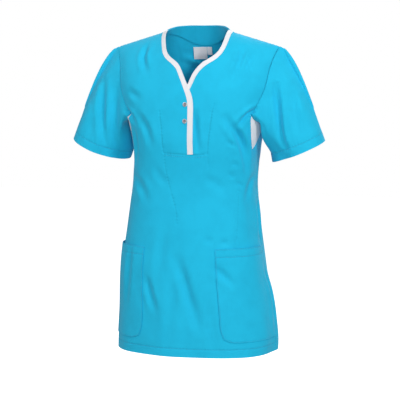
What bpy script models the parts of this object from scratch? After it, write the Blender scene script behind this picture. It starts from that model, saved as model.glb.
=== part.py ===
"""Scrub top: a short-sleeved slip-over tunic in turquoise cloth with white contrast pieces, shaped as worn.

Metres, +Z up, the front towards -Y and the wearer's left towards +X. The origin is midway between the two
points where the shoulder seams meet the neck.

A place on the cloth is a pair: an angle round the body (degrees, 0 at the centre front, 90 at the wearer's
left side, 180 at the centre back) and a level. Up to the chest the level is the height. Above it the level
runs on to 0 at the shoulder seams, where the front and the back meet.
"""
import math

import bmesh
import bpy
from mathutils import Vector

OBJECT_NAME = "scrub_top"

# Cloth
WALL = 0.0013                # thickness of the cloth wall
SEAM_GAP = 0.0003            # clearance between two pieces at a seam, and under a piece laid on another
SHARPEST = 0.25              # sine of half the sharpest corner that is drawn back in full

# Body
CHEST = -0.200               # level below which the walls stand upright
HEM = -0.712                 # height of the bottom edge
SHOULDER_X = 0.185           # half the width from shoulder tip to shoulder tip
SHOULDER_DROP = 0.034        # the shoulder tip below the neck point
SHOULDER_Y = 0.006           # the shoulder seams behind the origin
NECK_X = 0.072               # half the neck width at the shoulder seams
NECK_BLEND = 0.082           # half the width over which the yoke rises towards the neck
NAPE_RISE = 0.080            # how far the yoke's surface would rise to the centre, at the back
THROAT_RISE = 0.030          # the same at the front
YOKE_EASE = 1.25             # above 1 the yoke comes forward and back later, below the shoulder line

SECTIONS = [
    # name, level, half width, front depth, back depth, squareness, sway to the left, turn of the front
    ("shoulder", 0.000, 0.1866, 0.098, 0.096, 2.8, 0.000, 0.0),
    ("yoke", -0.050, 0.1868, 0.098, 0.097, 2.8, 0.000, 0.0),
    ("armhole", -0.100, 0.183, 0.099, 0.098, 2.8, 0.000, 0.0),
    ("low armhole", -0.140, 0.177, 0.100, 0.098, 2.8, 0.000, 0.0),
    ("armpit", -0.170, 0.165, 0.101, 0.098, 2.8, 0.000, 0.0),
    ("chest", -0.200, 0.154, 0.102, 0.097, 2.8, 0.000, 0.0),
    ("bust", -0.240, 0.144, 0.105, 0.096, 2.7, 0.000, 0.0),
    ("under bust", -0.285, 0.140, 0.102, 0.093, 2.6, -0.001, -0.2),
    ("waist", -0.340, 0.1415, 0.099, 0.090, 2.5, -0.0065, -0.6),
    ("high hip", -0.430, 0.152, 0.108, 0.100, 2.4, -0.008, -1.2),
    ("hip", -0.530, 0.165, 0.118, 0.110, 2.4, -0.008, -1.4),
    ("thigh", -0.630, 0.176, 0.124, 0.115, 2.3, -0.0025, -1.4),
    ("hem", HEM, 0.184, 0.126, 0.117, 2.3, -0.0012, -1.4),
]

# Folds of the body: soft troughs along a line, a negative depth being a ridge
BODY_FOLDS = [
    # name, start angle, start level, end angle, end level, half width, depth
    ("left shoulder pull", 34, -0.070, 24, -0.135, 0.009, 0.0020),
    ("left shoulder pull, outer", 41, -0.092, 29, -0.142, 0.009, 0.0018),
    ("right shoulder pull", -36, -0.085, -27, -0.140, 0.010, 0.0014),
    ("left bust drag", 31, -0.190, 47, -0.245, 0.013, 0.0030),
    ("left bust drag, low", 47, -0.245, 57, -0.305, 0.014, 0.0030),
    ("right bust drag", -44, -0.215, -56, -0.300, 0.014, 0.0026),
    ("left dart shaping", 22, -0.180, 20, -0.275, 0.012, 0.0016),
    ("right dart shaping", -20, -0.180, -16, -0.330, 0.012, 0.0016),
    ("placket drag", 10, -0.182, 15, -0.236, 0.009, 0.0014),
    ("left waist crease", 36, -0.318, 58, -0.336, 0.010, 0.0020),
    ("right waist crease", -70, -0.335, -48, -0.322, 0.011, 0.0020),
    ("left side hang", 66, -0.345, 70, -0.450, 0.016, 0.0030),
    ("right side hang", -68, -0.350, -64, -0.445, 0.016, 0.0026),
    ("belly swag", 20, -0.445, 32, -0.452, 0.012, 0.0016),
    ("front hang", -4, -0.490, 9, -0.610, 0.022, 0.0050),
    ("front hang, low", 9, -0.610, 15, -0.712, 0.022, 0.0040),
    ("left pocket hang", 30, -0.520, 40, -0.570, 0.018, 0.0026),
    ("right pocket hang", -28, -0.550, -21, -0.640, 0.018, 0.0034),
    ("front ridge", -14, -0.600, -10, -0.712, 0.022, -0.0030),
    ("left hem flare", 97, -0.590, 101, -0.712, 0.034, -0.0075),
    ("left hem hollow", 122, -0.560, 126, -0.712, 0.024, 0.0050),
    ("right hem hollow", -112, -0.540, -116, -0.712, 0.024, 0.0045),
    ("left blade hang", 158, -0.210, 163, -0.400, 0.020, 0.0036),
    ("right blade hang", 203, -0.190, 197, -0.380, 0.020, 0.0032),
    ("left back waist crease", 128, -0.330, 150, -0.352, 0.012, 0.0024),
    ("right back waist crease", 232, -0.322, 208, -0.346, 0.012, 0.0022),
    ("back hang", 172, -0.470, 168, -0.712, 0.024, 0.0056),
    ("back ridge", 191, -0.520, 194, -0.712, 0.026, -0.0040),
    ("right back hang", 221, -0.450, 226, -0.712, 0.022, 0.0044),
    ("left armhole drag, back", 122, -0.175, 138, -0.235, 0.013, 0.0026),
    ("right armhole drag, back", 237, -0.180, 224, -0.245, 0.013, 0.0024),
]

# Armhole on the wearer's left, as places in order round the hole from the shoulder tip down the front
ARMHOLE_FRONT = [(75, 0.000), (73, -0.018), (69, -0.045), (63.5, -0.082), (61, -0.115), (60.5, -0.143),
                 (58, -0.167), (53, -0.187)]
ARMHOLE_UNDER = [(53, -0.187), (62, -0.1985), (76, -0.2015), (90, -0.1950), (101, -0.180), (110, -0.1645),
                 (118, -0.152)]
ARMHOLE_BACK = [(118, -0.152), (119, -0.128), (117.5, -0.100), (114, -0.070), (108, -0.040),
                (106, -0.018), (105, 0.000)]
ARMHOLE_MIDDLE = (90, -0.110)

# Underarm insert on the wearer's left
INSERT_TIP = (68, -0.261)
SIDE_TOP = (90, -0.2204)     # the side seam ends here, on the insert's long edge

# Front neck and placket, as seen from the front
BINDING_WIDTH = 0.0100       # round the neck
STRIP_WIDTH = 0.0124         # down the placket
PLACKET_BASE = -0.268
RIGHT_EDGE = [
    # height, middle of the binding on the wearer's right, which laps over and runs down the placket
    (0.000, -0.0755), (-0.015, -0.0712), (-0.030, -0.0650), (-0.042, -0.0612), (-0.050, -0.0572),
    (-0.0575, -0.0500), (-0.0640, -0.0410), (-0.0700, -0.0290), (-0.0760, -0.0220), (-0.0860, -0.0172),
    (-0.0985, -0.0118), (-0.1120, -0.0050), (-0.1250, 0.0012), (-0.1370, 0.0068), (-0.1470, 0.0108),
    (-0.1560, 0.0124), (-0.1900, 0.0124), (-0.2300, 0.0124), (PLACKET_BASE, 0.0130),
]
LEFT_EDGE = [
    # height, middle of the binding on the wearer's left, which passes under
    (0.000, 0.0755), (-0.015, 0.0750), (-0.030, 0.0735), (-0.042, 0.0700), (-0.050, 0.0655),
    (-0.0575, 0.0590), (-0.0640, 0.0495), (-0.0690, 0.0400), (-0.0750, 0.0320), (-0.0840, 0.0250),
    (-0.0960, 0.0165), (-0.1090, 0.0115), (-0.1200, 0.0070), (-0.1320, 0.0005), (-0.1430, -0.0065),
    (-0.1530, -0.0112), (-0.1640, -0.0124), (-0.2100, -0.0124), (-0.2640, -0.0124),
]
UNDERLAP_DEPTH = 0.0025      # how far the underlap lies behind the overlap
UNDERLAP_CLEAR = 0.008       # how far past the overlap it lies so deep
UNDERLAP_EASE = 0.014        # the width over which it then comes back up to the front
LAP_CORNER = 0.0038          # the width of both at the placket's base
LAP_RISE = 0.015             # height over which they narrow to it
BINDING_PROUD = 0.0004       # the binding's face above the cloth
BINDING_WALL = 0.0018

# Back neck, as seen from the back, from its middle to the shoulder seam
BACK_NECK = [(0.000, 0.0128), (0.022, 0.0128), (0.042, 0.0126), (0.056, 0.0112), (0.066, 0.0070)]
BACK_NECK_X = 0.0735         # half its width at the shoulder seams
FACING_COLUMNS = 1           # cells of the back that the facing reaches along each shoulder seam
FACING_ROWS = 3              # and down
FACING_WALL = 0.0010
FACING_LIFT = 0.34           # share of the lowest row left off
FACING_CLEAR = 0.0011        # clear of the back

# Labels, as seen from the front through the neck
LABEL_TOP = -0.0345
LABEL_CLEAR = 0.0016         # clear of the back, which they hang against
LABEL_WALL = 0.0008
LABEL = {"right": -0.0310, "left": 0.0010, "drop": 0.0280}
TAB = {"right": 0.0016, "left": 0.0132, "drop": 0.0180}

# Pockets
POCKET_TOP = -0.4735
POCKET_BOTTOM = -0.6785
POCKET_ANGLE = 29.5          # inner edge, from the centre front; the outer edge is at the side seam
CORNER_SHARE = 0.32          # share of a cell by which a corner is rounded off
POCKET_GAPE = 0.0040         # how far the pocket's mouth stands away from the front

# Sleeve, on the wearer's left, mirrored to the right
SLEEVE_HEM_MIDDLE = Vector((0.2290, 0.0080, -0.2640))
SLEEVE_HEM_OUT = Vector((0.0620, -0.0120, 0.0240))
SLEEVE_HEM_AHEAD = Vector((0.0020, -0.0540, -0.0080))
SLEEVE_ROWS = [0.0, 0.05, 0.12, 0.21, 0.32, 0.44, 0.56, 0.68, 0.80, 0.91, 1.0]
SLEEVE_SEAM = 0.0030         # the sleeve leaves the armhole in line with the body for this length
SLEEVE_LEAVE = 0.18          # and then keeps this much of its direction
SLEEVE_CAP = 0.030           # half the depth of its cap
SLEEVE_ROUND = 0.55          # how far the cap is rounded forward and back
SLEEVE_BEND = 0.5            # how much against the arm's line it must leave to turn out fully
SLEEVE_TURN = 0.75           # how far it then turns out from the body
SLEEVE_CLEAR = 0.006         # how far it stands off the body under the arm
SLEEVE_HAND = 1.0            # the way round the hem that its rows run
SLEEVE_ARRIVE = 0.35         # how far ahead of the hem it runs along the arm
SLEEVE_FOLDS = {
    "left": [
        # name, place round the hem (0 outer, 90 front), start and end along the sleeve, half width, depth
        ("front trough", 128, 114, 0.25, 1.00, 15, 0.0048),
        ("front ridge", 88, 84, 0.35, 1.00, 18, -0.0026),
        ("cap drag", 60, 66, 0.10, 0.50, 12, 0.0018),
        ("back trough", 238, 246, 0.20, 1.00, 17, 0.0044),
        ("back drag", 300, 290, 0.15, 0.60, 14, 0.0022),
    ],
    "right": [
        ("front trough, outer", 66, 64, 0.35, 0.90, 13, 0.0034),
        ("front trough, inner", 120, 112, 0.15, 0.80, 15, 0.0040),
        ("front ridge", 92, 88, 0.40, 1.00, 14, -0.0024),
        ("back trough", 244, 236, 0.20, 1.00, 16, 0.0046),
        ("back drag", 296, 302, 0.10, 0.55, 14, 0.0022),
    ],
}

# Snaps on the placket
SNAP_HEIGHTS = {"snap_top": -0.1600, "snap_bottom": -0.1960}
SNAP_X = 0.0004
SNAP_RADIUS = 0.0052
SNAP_HEIGHT = 0.0019

# How many cells each stretch of a panel has
HEM_ROWS = 2                 # from the hem to the pocket's bottom
POCKET_ROWS = 8
WAIST_ROWS = 10              # from the pocket's top to the end of the side seam
INSERT_ROWS = 5              # up the insert's front edge
ARMHOLE_ROWS = 17            # up each edge of the armhole
TIP_COLUMNS = 3              # along the insert's long edge, from its tip to the side seam
BACK_INSERT_ROWS = 4         # and from there to its back corner
OUTER_COLUMNS = 5            # across the front, outside the pocket's inner edge
INNER_COLUMNS = 5            # inside it
LAP_COLUMNS = 3              # of which lie under the overlap
NECK_COLUMNS = 10            # across the back neck

# Colours and finish
TURQUOISE = {"colour": (0.020, 0.470, 0.740, 1.0), "rough": 0.85, "metal": 0.0}
WHITE = {"colour": (0.820, 0.820, 0.840, 1.0), "rough": 0.80, "metal": 0.0}
LABEL_WHITE = {"colour": (0.860, 0.850, 0.860, 1.0), "rough": 0.60, "metal": 0.0}
SNAP_METAL = {"colour": (0.620, 0.640, 0.660, 1.0), "rough": 0.30, "metal": 1.0}


def smooth(fraction):
    """Ease from 0 to 1."""
    held = min(max(fraction, 0.0), 1.0)
    return held * held * (3.0 - 2.0 * held)


def section_at(level):
    """The sections' sizes at a level, eased from one section to the next."""
    last = len(SECTIONS) - 1
    index = 0
    while index < last - 1 and level < SECTIONS[index + 1][1]:
        index += 1
    before, start, end, after = (SECTIONS[min(max(index + step, 0), last)] for step in (-1, 0, 1, 2))
    span = end[1] - start[1]
    part = (level - start[1]) / span
    values = []
    for column in range(2, len(start)):
        leave = (end[column] - before[column]) / (end[1] - before[1]) * span
        arrive = (after[column] - start[column]) / (after[1] - start[1]) * span
        rise = end[column] - start[column]
        values.append(start[column] + part * leave + part**2 * (3.0 * rise - 2.0 * leave - arrive)
                      + part**3 * (leave + arrive - 2.0 * rise))
    return values


def ring_direction(angle, squareness):
    """Point of a squarish ring of half width 1 at an angle: across, and towards the front."""
    across, ahead = math.sin(math.radians(angle)), math.cos(math.radians(angle))
    reach = (abs(across) ** squareness + abs(ahead) ** squareness) ** (-1.0 / squareness)
    return across * reach, ahead * reach


def shoulder_height(distance, at_back):
    """Height of the shoulder line at a distance from the middle, rising over the neck opening."""
    slope = SHOULDER_DROP / (SHOULDER_X - NECK_X)
    rise = NAPE_RISE if at_back else THROAT_RISE
    return -slope * (distance - NECK_X) * smooth(2.0 * distance / NECK_X) + rise * smooth(
        (NECK_BLEND - distance) / NECK_BLEND)


def smooth_body(angle, level):
    """Point of the body's outer surface before its folds."""
    width, front, back, squareness, sway, turn = section_at(level)
    across, ahead = ring_direction(angle + turn, squareness)
    depth = front if ahead > 0.0 else back
    if level <= CHEST:
        return Vector((width * across + sway, -depth * ahead, level))
    tip = level / CHEST * math.pi / 2.0
    y = SHOULDER_Y + (-depth * ahead - SHOULDER_Y) * math.sin(tip) ** YOKE_EASE
    z = CHEST + (shoulder_height(abs(across) * SHOULDER_X, ahead < 0.0) - CHEST) * math.cos(tip)
    return Vector((width * across + sway, y, z))


def outward(surface, angle, level):
    """Unit vector out of a surface at a place."""
    turn_step, level_step = 0.4, 0.0012
    middle = min(level, -2.0 * level_step)
    round_body = surface(angle + turn_step, middle) - surface(angle - turn_step, middle)
    up_body = surface(angle, middle + level_step) - surface(angle, middle - level_step)
    return round_body.cross(up_body).normalized()


def fold_depth(angle, level):
    """How far the folds press the body in at a place."""
    metres = math.radians(0.15)          # along the cloth for a degree round the body, near enough
    total = 0.0
    for _, angle_a, level_a, angle_b, level_b, half_width, depth in BODY_FOLDS:
        away = (angle - angle_a + 180.0) % 360.0 - 180.0
        x, y = away * metres, level - level_a
        if abs(x) > 0.2:
            continue
        run_x, run_y = (angle_b - angle_a) * metres, level_b - level_a
        part = min(max((x * run_x + y * run_y) / (run_x**2 + run_y**2), 0.0), 1.0)
        gap = math.hypot(x - part * run_x, y - part * run_y) / half_width
        if gap < 3.0:
            total += depth * math.exp(-gap * gap)
    return total


def folded_body(angle, level):
    """Point of the body's outer surface with its folds."""
    point = smooth_body(angle, level)
    depth = fold_depth(angle, level)
    return point - outward(smooth_body, angle, level) * depth if depth else point


def body_normal(place):
    """Unit vector out of the body at a place, along the shoulder seams halfway between front and back."""
    angle, level = place
    normal = outward(folded_body, angle, level)
    if level > -SEAM_GAP:
        normal = (normal + outward(folded_body, 180.0 - angle, level)).normalized()
    return normal


def body(place, out=0.0):
    """Point of the body's outer surface at a place, moved out by some of the cloth's thickness."""
    point = folded_body(*place)
    return point + body_normal(place) * out if out else point


def seen_at(across, height, at_back=False):
    """The place that lies at a distance across and a height, as seen from the front or the back."""
    level = min(height, -0.001)
    for _ in range(12):
        width, _, _, squareness, sway, turn = section_at(level)
        share = min(abs(across - sway) / width, 0.999)
        ahead = (1.0 - share**squareness) ** (1.0 / squareness)
        if height > CHEST:
            top = shoulder_height(share * SHOULDER_X, at_back)
            lift = min((height - CHEST) / (top - CHEST), 1.0)
            level = CHEST * math.acos(lift) / (math.pi / 2.0)
    angle = math.copysign(math.degrees(math.atan2(share, ahead)), across - sway)
    return ((180.0 - angle) % 360.0 if at_back else angle - turn), level


def rounded(points, steps=10):
    """Points along a smooth curve through the given ones."""
    ends = [points[0]] + list(points) + [points[-1]]
    curve = []
    for before, start, end, after in zip(ends, ends[1:], ends[2:], ends[3:]):
        for step in range(steps):
            part = step / steps
            curve.append(tuple(
                s + 0.5 * part * (e - b + part * (2.0 * b - 5.0 * s + 4.0 * e - a + part * (
                    3.0 * (s - e) + a - b)))
                for b, s, e, a in zip(before, start, end, after)))
    curve.append(tuple(points[-1]))
    return curve


def spaced(points, cells):
    """Places evenly spaced along a run of places, by its length on the cloth and the change in level."""
    lengths = [0.0]
    for a, b in zip(points, points[1:]):
        lengths.append(lengths[-1] + (smooth_body(*b) - smooth_body(*a)).length + abs(b[1] - a[1]))
    result, index = [], 0
    for cell in range(cells + 1):
        goal = lengths[-1] * cell / cells
        while index < len(points) - 2 and lengths[index + 1] < goal:
            index += 1
        span = lengths[index + 1] - lengths[index]
        part = min(max((goal - lengths[index]) / span, 0.0), 1.0) if span else 0.0
        a, b = points[index], points[index + 1]
        result.append((a[0] + (b[0] - a[0]) * part, a[1] + (b[1] - a[1]) * part))
    return result


def joined(*runs):
    """Runs of places end to end, each starting where the one before stops."""
    result = list(runs[0])
    for run in runs[1:]:
        result += run[1:]
    return result


def mirrored(places):
    """The same places on the other side of the body."""
    return [(-angle, level) for angle, level in places]


def filled(low, high, start, end, ease=None):
    """Grid of places between four edges, low and high running across, start and end running up."""
    columns, rows = len(low) - 1, len(start) - 1
    grid = []
    for j in range(rows + 1):
        v = ease(j / rows) if ease else j / rows
        row = []
        for i in range(columns + 1):
            u = i / columns
            row.append(tuple(
                (1 - v) * low[i][k] + v * high[i][k] + (1 - u) * start[j][k] + u * end[j][k]
                - (1 - u) * (1 - v) * low[0][k] - u * (1 - v) * low[-1][k]
                - (1 - u) * v * high[0][k] - u * v * high[-1][k]
                for k in range(2)))
        grid.append(row)
    return grid


def cloth(name, grids, finish, gap=SEAM_GAP / 2.0):
    """Piece of cloth from grids of outer and inner points, which share those along which they are cut in one.

    The wall is closed along its edges square to the surface it follows, so that two pieces stay evenly apart
    at a seam.
    """
    mesh = bmesh.new()
    outer, inner = {}, {}
    for grid in grids:
        rows = []
        for row in grid:
            corners = []
            for outside, inside in row:
                key = tuple(round(value, 5) for value in outside)
                if key not in outer:
                    outer[key] = mesh.verts.new(outside)
                    inner[outer[key]] = inside
                corners.append(outer[key])
            rows.append(corners)
        for low, high in zip(rows, rows[1:]):
            for i in range(len(low) - 1):
                for corners in ((low[i], low[i + 1], high[i + 1]), (low[i], high[i + 1], high[i])):
                    if len(set(corners)) == 3:
                        mesh.faces.new(corners)
    mesh.normal_update()
    thickness = sum(face.normal.dot(face.verts[0].co - inner[face.verts[0]]) for face in mesh.faces)
    if thickness < 0.0:
        bmesh.ops.reverse_faces(mesh, faces=mesh.faces)
    edges = [edge for edge in mesh.edges if edge.is_boundary]
    faces = list(mesh.faces)
    moves = draw_in(edges, gap)
    under = {}
    for corner, inside in inner.items():
        under[corner] = mesh.verts.new(inside + moves.get(corner, Vector()))
        corner.co += moves.get(corner, Vector())
    for face in faces:
        mesh.faces.new([under[corner] for corner in reversed(face.verts)])
    for edge in edges:
        loop = edge.link_loops[0]
        start, end = loop.vert, loop.link_loop_next.vert
        if start.co.z > end.co.z:        # the same way on both sides of a seam
            mesh.faces.new((end, start, under[start]))
            mesh.faces.new((end, under[start], under[end]))
        else:
            mesh.faces.new((end, start, under[end]))
            mesh.faces.new((start, under[start], under[end]))
    shape = bpy.data.meshes.new(name)
    mesh.to_mesh(shape)
    mesh.free()
    shape.shade_smooth()
    shape.set_sharp_from_angle(angle=math.radians(50.0))
    return new_piece(name, shape, finish)


def draw_in(edges, amount):
    """Moves that draw the open edges of a sheet back within its surface."""
    inwards = {}
    for edge in edges:
        start, end = (corner.co for corner in edge.verts)
        run = (end - start).normalized()
        inside = edge.link_faces[0].calc_center_median() - start
        inward = (inside - run * inside.dot(run)).normalized()
        for corner in edge.verts:
            inwards.setdefault(corner, []).append(inward)
    moves = {}
    for corner, ways in inwards.items():
        way = sum(ways, Vector()).normalized()
        moves[corner] = way * (amount / max(way.dot(ways[0]), SHARPEST))
    return moves


def new_piece(name, shape, finish):
    """Object with its own material, in the part's collection."""
    material = bpy.data.materials.new(name)
    material.use_nodes = True
    shader = material.node_tree.nodes["Principled BSDF"]
    shader.inputs["Base Color"].default_value = finish["colour"]
    shader.inputs["Roughness"].default_value = finish["rough"]
    shader.inputs["Metallic"].default_value = finish["metal"]
    material.diffuse_color = finish["colour"]
    shape.materials.append(material)
    piece = bpy.data.objects.new(name, shape)
    bpy.data.collections[OBJECT_NAME].objects.link(piece)
    return piece


# Edges that the panels share

def edge_places(table, side, width_at):
    """Places along a front edge, half a width to one side of the middle line that its table gives."""
    line = rounded([(across, height) for height, across in table], 8)
    places = []
    for index, (across, height) in enumerate(line):
        before, after = line[max(index - 1, 0)], line[min(index + 1, len(line) - 1)]
        run_x, run_z = after[0] - before[0], after[1] - before[1]
        offset = side * width_at(index / (len(line) - 1)) / 2.0 / math.hypot(run_x, run_z)
        places.append(seen_at(across - run_z * offset, min(height + run_x * offset, 0.0)))
    places[0] = (places[0][0], 0.0)
    return places


def right_width(share):
    """Width of the overlapping binding at a share of its table: wider down the placket."""
    return BINDING_WIDTH + (STRIP_WIDTH - BINDING_WIDTH) * smooth((share - 0.55) / 0.2)


def left_width(_share):
    """Width of the other binding, the same all along."""
    return BINDING_WIDTH


def strip_edge(height):
    """How far across the overlapping binding's free edge lies at a height."""
    index = 0
    while index < len(RIGHT_EDGE) - 2 and height < RIGHT_EDGE[index + 1][0]:
        index += 1
    (top, at_top), (bottom, at_bottom) = RIGHT_EDGE[index], RIGHT_EDGE[index + 1]
    part = min(max((height - top) / (bottom - top), 0.0), 1.0)
    return at_top + (at_bottom - at_top) * part + STRIP_WIDTH / 2.0


def lapped(place, out=0.0):
    """Point of the wearer's left front, which drops back to pass under the overlap."""
    point = smooth_body(*place)
    nearness = smooth((place[1] - PLACKET_BASE) / LAP_RISE)
    clear = LAP_CORNER / 3.0 + (UNDERLAP_CLEAR - LAP_CORNER / 3.0) * nearness
    ease = LAP_CORNER / 2.0 + (UNDERLAP_EASE - LAP_CORNER / 2.0) * nearness
    drop = UNDERLAP_DEPTH * (1.0 - smooth((point.x - strip_edge(point.z) - clear) / ease))
    return body(place, out - drop)


NECK_ROWS = INSERT_ROWS + ARMHOLE_ROWS
HALF_COLUMNS = OUTER_COLUMNS + INNER_COLUMNS
FULL_ROWS = HEM_ROWS + POCKET_ROWS + WAIST_ROWS
right_tip, left_tip = (-INSERT_TIP[0], INSERT_TIP[1]), INSERT_TIP

side_seam = joined(
    spaced([(90, HEM), (90, POCKET_BOTTOM)], HEM_ROWS),
    spaced([(90, POCKET_BOTTOM), (90, POCKET_TOP)], POCKET_ROWS),
    spaced([(90, POCKET_TOP), SIDE_TOP], WAIST_ROWS))
insert_front = spaced([INSERT_TIP, ARMHOLE_FRONT[-1]], INSERT_ROWS)
insert_ahead = spaced([INSERT_TIP, SIDE_TOP], TIP_COLUMNS)
insert_behind = spaced([SIDE_TOP, ARMHOLE_BACK[0]], BACK_INSERT_ROWS)
armhole_front = spaced(rounded(ARMHOLE_FRONT), ARMHOLE_ROWS)
armhole_under = spaced(rounded(ARMHOLE_UNDER), TIP_COLUMNS + BACK_INSERT_ROWS)
armhole_back = spaced(rounded(ARMHOLE_BACK), ARMHOLE_ROWS)
front_outer = joined(insert_front, armhole_front[::-1])

right_cloth_edge = spaced(edge_places(RIGHT_EDGE, -1, right_width)[::-1], NECK_ROWS)
right_free_edge = spaced(edge_places(RIGHT_EDGE, 1, right_width)[::-1], NECK_ROWS)
left_cloth_edge = spaced(edge_places(LEFT_EDGE, 1, left_width)[::-1], NECK_ROWS)
left_free_edge = spaced(edge_places(LEFT_EDGE, -1, left_width)[::-1], NECK_ROWS)
lap_corner = seen_at(RIGHT_EDGE[-1][1] + STRIP_WIDTH / 2.0 + LAP_CORNER, PLACKET_BASE)

right_shoulder = spaced(rounded([mirrored(armhole_front)[0], right_cloth_edge[-1]]), HALF_COLUMNS)
left_shoulder = spaced(rounded([left_cloth_edge[-1], armhole_front[0]]), HALF_COLUMNS)


# Front

def front_block():
    """Places of the front below the placket, from side seam to side seam."""
    top = joined(
        mirrored(insert_ahead)[::-1],
        spaced([right_tip, right_cloth_edge[0]], HALF_COLUMNS),
        [right_cloth_edge[0], lap_corner],
        spaced([lap_corner, left_tip], HALF_COLUMNS - LAP_COLUMNS),
        insert_ahead)
    edge_angle, lap_angle = right_cloth_edge[0][0], lap_corner[0]
    bottom = joined(
        spaced([(-90, HEM), (right_tip[0], HEM)], TIP_COLUMNS),
        spaced([(right_tip[0], HEM), (-POCKET_ANGLE, HEM)], OUTER_COLUMNS),
        spaced([(-POCKET_ANGLE, HEM), (edge_angle, HEM)], INNER_COLUMNS),
        [(edge_angle, HEM), (lap_angle, HEM)],
        spaced([(lap_angle, HEM), (POCKET_ANGLE, HEM)], INNER_COLUMNS - LAP_COLUMNS),
        spaced([(POCKET_ANGLE, HEM), (left_tip[0], HEM)], OUTER_COLUMNS),
        spaced([(left_tip[0], HEM), (90, HEM)], TIP_COLUMNS))
    pocket_share = (HEM_ROWS + POCKET_ROWS) / FULL_ROWS
    return filled(bottom, top, mirrored(side_seam), side_seam,
                  lambda v: smooth((v - pocket_share) / (1.0 - pocket_share)))


def right_front():
    """Places of the front above the placket's base, on the wearer's right."""
    low = spaced([right_tip, right_cloth_edge[0]], HALF_COLUMNS)
    return filled(low, right_shoulder, mirrored(front_outer), right_cloth_edge)


def left_front():
    """The same on the wearer's left, with the underlap."""
    strip_corner = seen_at(strip_edge(PLACKET_BASE) + LAP_CORNER / 3.0, PLACKET_BASE)
    low = joined(spaced([left_cloth_edge[0], strip_corner], LAP_COLUMNS - 1),
                 [strip_corner, lap_corner],
                 spaced([lap_corner, left_tip], HALF_COLUMNS - LAP_COLUMNS))
    return filled(low, left_shoulder, left_cloth_edge, front_outer)


def laid(grid, surface=body, out=0.0, wall=WALL):
    """Outer and inner points of a wall on a surface, for a grid of places."""
    return [[(surface(place, out), surface(place, out - wall)) for place in row] for row in grid]


def between(start, end, share):
    """Outer and inner points a share of the way from one pair to another."""
    return start[0].lerp(end[0], share), start[1].lerp(end[1], share)


def round_corner(grid, row, column, row_in, column_in):
    """Move a grid's corner inwards, so that a round corner is cut by its cell."""
    diagonal = between(grid[row][column_in], grid[row_in][column], 0.5)
    grid[row][column] = between(grid[row][column], diagonal, 2.0 * CORNER_SHARE)


def make_front():
    """Front, in one piece from the hem to the shoulders."""
    cloth("front", [laid(front_block()), laid(right_front()), laid(left_front(), lapped)], TURQUOISE)


def make_pockets():
    """Patch pockets on the front, open at the top, their outer edges at the side seams."""
    block = front_block()
    rows = block[HEM_ROWS:HEM_ROWS + POCKET_ROWS + 1]
    reach = OUTER_COLUMNS + TIP_COLUMNS
    for side, columns in (("right", slice(0, reach + 1)), ("left", slice(-reach - 1, None))):
        grid = []
        for j, row in enumerate(rows):
            mouth = smooth(1.0 - (POCKET_ROWS - j) / (0.6 * POCKET_ROWS))
            outs = [SEAM_GAP + WALL + POCKET_GAPE * mouth * math.sin(math.pi * i / reach)
                    for i in range(reach + 1)]
            grid.append([(body(place, out), body(place, out - WALL))
                         for place, out in zip(row[columns], outs)])
        if side == "right":
            round_corner(grid, 0, -1, 1, -2)
        else:
            round_corner(grid, 0, 0, 1, 1)
        cloth(f"pocket_{side}", [grid], TURQUOISE)


def make_bindings():
    """White edge binding of the front neck and the placket."""
    right = [[a, b] for a, b in zip(right_cloth_edge, right_free_edge)]
    left = [[a, b] for a, b in zip(left_cloth_edge, left_free_edge)]
    cloth("binding_right", [laid(right, body, BINDING_PROUD, BINDING_WALL)], WHITE)
    cloth("binding_left", [laid(left, lapped, BINDING_PROUD, BINDING_WALL)], WHITE)


# Back

def back_neck_edge():
    """Places along the back neck, from the wearer's left to the right."""
    half = [seen_at(across, height, True) for across, height in BACK_NECK]
    half.append((180.0 - seen_at(BACK_NECK_X, 0.0)[0], 0.0))
    curve = rounded([(360.0 - angle, level) for angle, level in half[:0:-1]] + half)
    return spaced(curve[::-1], NECK_COLUMNS)


def back_places():
    """Places of the back, from the wearer's left side to the right."""
    up_left = joined(side_seam, insert_behind, armhole_back)
    up_right = [(360.0 - angle, level) for angle, level in up_left]
    shoulder_left = [(180.0 - angle, level) for angle, level in left_shoulder[::-1]]
    shoulder_right = [(180.0 - angle, level) for angle, level in right_shoulder[::-1]]
    neck = back_neck_edge()
    top = joined(shoulder_left, [shoulder_left[-1], neck[0]], neck, [neck[-1], shoulder_right[0]],
                 shoulder_right)
    bottom = spaced([(90, HEM), (270, HEM)], len(top) - 1)
    return filled(bottom, top, up_left, up_right)


def make_back():
    """Back, in one piece."""
    cloth("back", [laid(back_places())], TURQUOISE)


def make_facing():
    """Back neck facing, inside the back and made from its points."""
    first = HALF_COLUMNS - FACING_COLUMNS
    last = HALF_COLUMNS + NECK_COLUMNS + 2 + FACING_COLUMNS
    rows = [row[first:last + 1] for row in back_places()[-FACING_ROWS - 1:]]
    rows[0] = [tuple(a + (b - a) * FACING_LIFT for a, b in zip(low, high)) for low, high in zip(*rows[:2])]
    grid = laid(rows, body, -WALL - FACING_CLEAR, FACING_WALL)
    round_corner(grid, 0, 0, 1, 1)
    round_corner(grid, 0, -1, 1, -2)
    cloth("back_neck_facing", [grid], TURQUOISE)


def make_labels():
    """Blank label and the blank tab beside it, hanging from the facing's lower edge."""
    for name, size in (("label", LABEL), ("label_tab", TAB)):
        cells = 3
        grid = []
        for j in range(cells + 1):
            height = LABEL_TOP - size["drop"] * (1.0 - j / cells)
            grid.append([
                seen_at(size["right"] + (size["left"] - size["right"]) * i / cells, height, True)
                for i in range(cells + 1)])
        cloth(name, [laid(grid, body, -WALL - LABEL_CLEAR, LABEL_WALL)], LABEL_WHITE)


# Inserts and sleeves

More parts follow.
